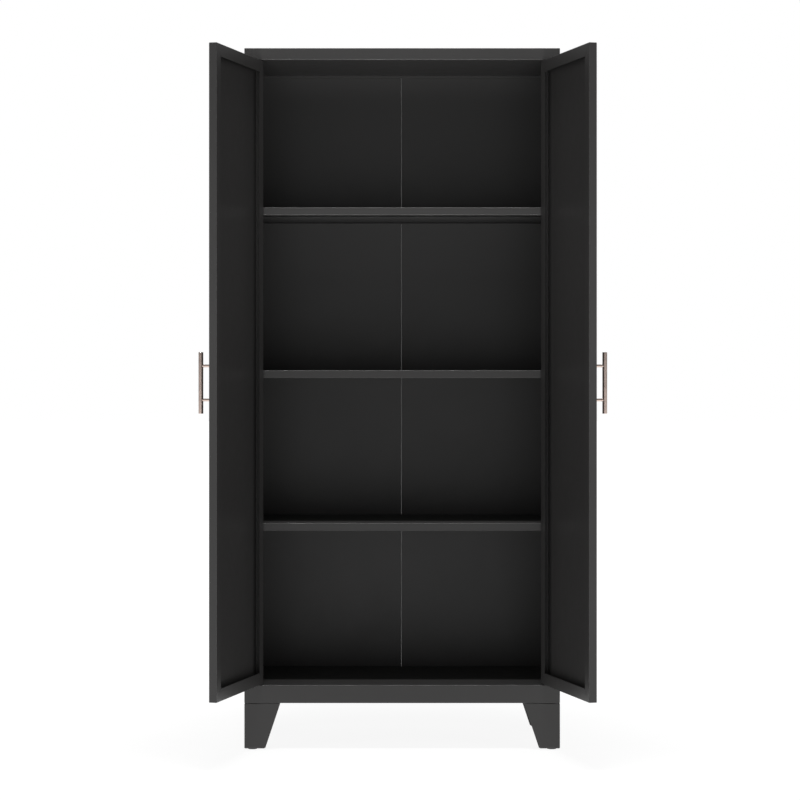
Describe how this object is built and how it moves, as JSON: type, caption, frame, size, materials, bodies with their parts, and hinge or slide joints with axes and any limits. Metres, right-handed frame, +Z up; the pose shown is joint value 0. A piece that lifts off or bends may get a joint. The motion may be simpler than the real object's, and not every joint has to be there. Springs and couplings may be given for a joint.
{
  "type": "pantry cabinet",
  "caption": "Tall folded-steel pantry cabinet with a pair of inset pan doors, adjustable shelves, slim T-bar handles and tapered angle legs.",
  "frame": {"origin": "on the floor, under the middle of the box round the cabinet with its doors open", "axes": "+Z up, -Y out of the front, +X to the right of a person facing the cabinet"},
  "size_m": [0.9842, 0.751, 1.778],
  "materials": {
    "powder_coat": "satin charcoal powder coat with a fine orange peel",
    "door_paint": "semi-gloss charcoal powder coat",
    "rose_metal": "finely brushed rose-gold plating",
    "zinc_plate": "bright zinc plating",
    "nylon": "moulded black nylon",
    "ferrite": "dull dark grey ferrite"
  },
  "bodies": {
    "carcass": {"top_panel": "powder_coat", "ceiling_liner": "powder_coat", "base_panel": "powder_coat", "left_side_panel": "powder_coat", "right_side_panel": "powder_coat", "left_back_panel": "powder_coat", "right_back_panel": "powder_coat", "front_left_slotted_strip": "powder_coat", "rear_left_slotted_strip": "powder_coat", "front_right_slotted_strip": "powder_coat", "rear_right_slotted_strip": "powder_coat", "lower_shelf_clip_front_left": "zinc_plate", "lower_shelf_clip_rear_left": "zinc_plate", "lower_shelf_clip_front_right": "zinc_plate", "lower_shelf_clip_rear_right": "zinc_plate", "middle_shelf_clip_front_left": "zinc_plate", "middle_shelf_clip_rear_left": "zinc_plate", "middle_shelf_clip_front_right": "zinc_plate", "middle_shelf_clip_rear_right": "zinc_plate", "upper_shelf_clip_front_left": "zinc_plate", "upper_shelf_clip_rear_left": "zinc_plate", "upper_shelf_clip_front_right": "zinc_plate", "upper_shelf_clip_rear_right": "zinc_plate", "front_left_leg": "powder_coat", "front_right_leg": "powder_coat", "rear_right_leg": "powder_coat", "rear_left_leg": "powder_coat", "front_left_glide_nut": "zinc_plate", "front_right_glide_nut": "zinc_plate", "rear_right_glide_nut": "zinc_plate", "rear_left_glide_nut": "zinc_plate", "left_upper_bush": "nylon", "left_lower_bush": "nylon", "right_upper_bush": "nylon", "right_lower_bush": "nylon"},
    "left_door": {"left_door_shell": "door_paint", "left_upper_pivot_pin": "zinc_plate", "left_lower_pivot_pin": "zinc_plate", "left_handle_bar": "rose_metal", "left_handle_lower_post": "rose_metal", "left_handle_lower_screw": "zinc_plate", "left_handle_upper_post": "rose_metal", "left_handle_upper_screw": "zinc_plate", "left_door_magnet": "ferrite"},
    "right_door": {"right_door_shell": "door_paint", "right_upper_pivot_pin": "zinc_plate", "right_lower_pivot_pin": "zinc_plate", "right_handle_bar": "rose_metal", "right_handle_lower_post": "rose_metal", "right_handle_lower_screw": "zinc_plate", "right_handle_upper_post": "rose_metal", "right_handle_upper_screw": "zinc_plate", "right_door_magnet": "ferrite"},
    "lower_shelf": {"lower_shelf": "powder_coat"},
    "middle_shelf": {"middle_shelf": "powder_coat"},
    "upper_shelf": {"upper_shelf": "powder_coat"},
    "front_left_glide": {"front_left_glide": "nylon"},
    "front_right_glide": {"front_right_glide": "nylon"},
    "rear_right_glide": {"rear_right_glide": "nylon"},
    "rear_left_glide": {"rear_left_glide": "nylon"}
  },
  "joints": [
    {"name": "left_door_hinge", "type": "hinge", "parent": "carcass", "child": "left_door", "pos_m": [-0.367, -0.01851, 0.956], "axis": [0, 0, 1], "range_deg": [0, 104.5]},
    {"name": "right_door_hinge", "type": "hinge", "parent": "carcass", "child": "right_door", "pos_m": [0.367, -0.01851, 0.956], "axis": [0, 0, 1], "range_deg": [-104.5, 0]},
    {"name": "lower_shelf_lift", "type": "slide", "parent": "carcass", "child": "lower_shelf", "axis": [0, 0, 1], "range_m": [0, 0.026]},
    {"name": "middle_shelf_lift", "type": "slide", "parent": "carcass", "child": "middle_shelf", "axis": [0, 0, 1], "range_m": [0, 0.026]},
    {"name": "upper_shelf_lift", "type": "slide", "parent": "carcass", "child": "upper_shelf", "axis": [0, 0, 1], "range_m": [0, 0.026]},
    {"name": "front_left_glide_travel", "type": "slide", "parent": "carcass", "child": "front_left_glide", "axis": [0, 0, 1], "range_m": [-0.01, 0]},
    {"name": "front_right_glide_travel", "type": "slide", "parent": "carcass", "child": "front_right_glide", "axis": [0, 0, 1], "range_m": [-0.01, 0]},
    {"name": "rear_right_glide_travel", "type": "slide", "parent": "carcass", "child": "rear_right_glide", "axis": [0, 0, 1], "range_m": [-0.01, 0]},
    {"name": "rear_left_glide_travel", "type": "slide", "parent": "carcass", "child": "rear_left_glide", "axis": [0, 0, 1], "range_m": [-0.01, 0]}
  ]
}
